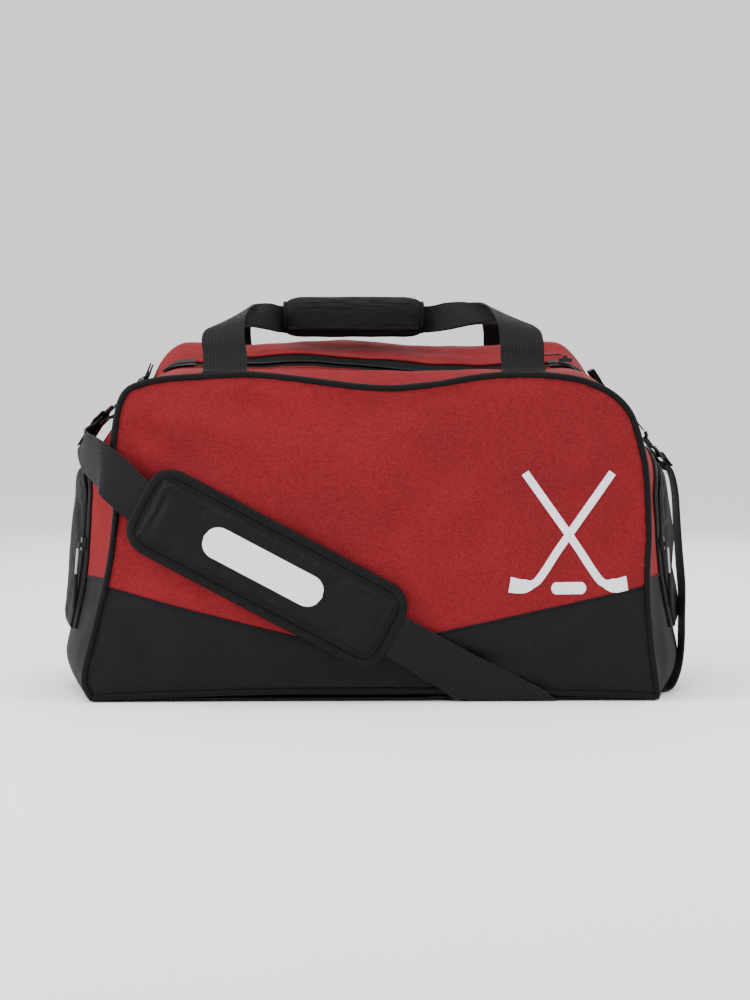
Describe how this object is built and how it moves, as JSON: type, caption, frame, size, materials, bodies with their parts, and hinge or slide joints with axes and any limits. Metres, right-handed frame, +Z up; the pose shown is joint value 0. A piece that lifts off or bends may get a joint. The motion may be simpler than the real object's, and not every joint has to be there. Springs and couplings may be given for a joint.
{
  "type": "hockey equipment bag",
  "caption": "Soft zipped sports duffel in red and black cloth with end pockets, joined carrying handles and a padded shoulder strap.",
  "frame": {"origin": "centre of the base, on the surface that the bag stands on", "axes": "+X to the right along the bag, +Y to the rear, +Z up; the front panel with the strap pad faces -Y"},
  "size_m": [0.5937, 0.3142, 0.3725],
  "materials": {
    "red_cloth": "heathered woven polyester, matt",
    "black_cloth": "fine woven polyester, soft sheen",
    "piping": "bias binding round a cord",
    "webbing": "ribbed polyester webbing",
    "zip": "coil zip on woven tape",
    "silver": "bright nickel",
    "dark_metal": "gunmetal plating",
    "rubber": "moulded end on a braided cord",
    "board": "stiff sheet"
  },
  "bodies": {
    "shell": {"base_board": "board", "base_panel": "black_cloth", "d_ring_left": "dark_metal", "d_ring_right": "dark_metal", "end_panel_lower_left": "black_cloth", "end_panel_lower_right": "black_cloth", "end_panel_upper_left": "red_cloth", "end_panel_upper_right": "red_cloth", "front_handle": "webbing", "front_panel_lower": "black_cloth", "front_panel_upper": "red_cloth", "front_piping": "piping", "main_zip_end_left": "zip", "main_zip_end_right": "zip", "pocket_flap_right": "black_cloth", "pocket_zip_left": "zip", "pocket_zip_right": "zip", "rear_handle": "webbing", "rear_panel_lower": "black_cloth", "rear_panel_upper": "red_cloth", "rear_piping": "piping", "ring_tab_left": "webbing", "ring_tab_right": "webbing", "shoulder_strap": "webbing", "snap_hook_left": "dark_metal", "snap_hook_right": "dark_metal", "strap_loop_left": "webbing", "strap_loop_right": "webbing", "top_end_left": "red_cloth", "top_end_right": "red_cloth", "top_front_strip": "red_cloth", "top_rear_strip": "red_cloth"},
    "front_mouth": {"mouth_flap_front": "red_cloth", "main_zip_front": "zip"},
    "rear_mouth": {"mouth_flap_rear": "red_cloth", "main_zip_rear": "zip"},
    "main_zip_slider": {"main_slider": "dark_metal"},
    "main_zip_pull": {"main_pull": "silver", "main_pull_cord": "rubber"},
    "left_pocket": {"pocket_flap_left": "black_cloth"},
    "left_slider": {"pocket_slider_left": "dark_metal"},
    "left_pull": {"pocket_pull_left": "silver", "pocket_pull_cord_left": "rubber"},
    "right_slider": {"pocket_slider_right": "dark_metal"},
    "right_pull": {"pocket_pull_right": "silver", "pocket_pull_cord_right": "rubber"},
    "grip": {"grip_wrap": "black_cloth"},
    "grip_cover": {"grip_flap": "black_cloth"},
    "strap_pad": {"shoulder_pad": "black_cloth"},
    "left_gate": {"hook_gate_left": "silver"},
    "right_gate": {"hook_gate_right": "silver"}
  },
  "joints": [
    {"name": "front_mouth_open", "type": "hinge", "parent": "shell", "child": "front_mouth", "pos_m": [0, -0.105, 0.2998], "axis": [-1, 0, 0], "range_deg": [0, 45]},
    {"name": "rear_mouth_open", "type": "hinge", "parent": "shell", "child": "rear_mouth", "pos_m": [0, 0.07, 0.3253], "axis": [1, 0, 0], "range_deg": [0, 45]},
    {"name": "main_zip_slide", "type": "slide", "parent": "shell", "child": "main_zip_slider", "axis": [-1, 0, 0], "range_m": [0, 0.368]},
    {"name": "main_pull_lift", "type": "hinge", "parent": "main_zip_slider", "child": "main_zip_pull", "pos_m": [0.1805, -0.035, 0.3177], "axis": [0, 1, 0], "range_deg": [0, 150]},
    {"name": "left_pocket_open", "type": "hinge", "parent": "shell", "child": "left_pocket", "pos_m": [-0.2915, 0, 0.0615], "axis": [0, -1, 0], "range_deg": [0, 50]},
    {"name": "left_pocket_slide", "type": "slide", "parent": "shell", "child": "left_slider", "axis": [0.0815, 0, 0.9967], "range_m": [0, 0.04]},
    {"name": "left_pull_lift", "type": "hinge", "parent": "left_slider", "child": "left_pull", "pos_m": [-0.2763, -0.0825, 0.1363], "axis": [-0.2511, 0.9677, 0.0205], "range_deg": [0, 140]},
    {"name": "right_pocket_slide", "type": "slide", "parent": "shell", "child": "right_slider", "axis": [-0.0815, 0, 0.9967], "range_m": [0, 0.04]},
    {"name": "right_pull_lift", "type": "hinge", "parent": "right_slider", "child": "right_pull", "pos_m": [0.2763, -0.0825, 0.1363], "axis": [-0.2511, -0.9677, -0.0205], "range_deg": [0, 140]},
    {"name": "grip_lift", "type": "slide", "parent": "shell", "child": "grip", "axis": [0, 0, 1], "range_m": [0, 0.03], "deforming": ["front_handle", "rear_handle"]},
    {"name": "grip_cover_open", "type": "hinge", "parent": "grip", "child": "grip_cover", "pos_m": [0, 0.0033, 0.3695], "axis": [-1, 0, 0], "range_deg": [0, 65]},
    {"name": "pad_slide", "type": "slide", "parent": "shell", "child": "strap_pad", "axis": [0.8829, 0, -0.4695], "range_m": [-0.008, 0.008]},
    {"name": "left_gate_press", "type": "hinge", "parent": "shell", "child": "left_gate", "pos_m": [-0.2531, -0.03694, 0.26074], "axis": [0.2268, 0.3717, -0.9002], "range_deg": [0, 22], "stiffness_Nm_per_rad": 0.02},
    {"name": "right_gate_press", "type": "hinge", "parent": "shell", "child": "right_gate", "pos_m": [0.26436, -0.00324, 0.24487], "axis": [-0.5582, -0.7071, -0.4341], "range_deg": [0, 22], "stiffness_Nm_per_rad": 0.02}
  ]
}
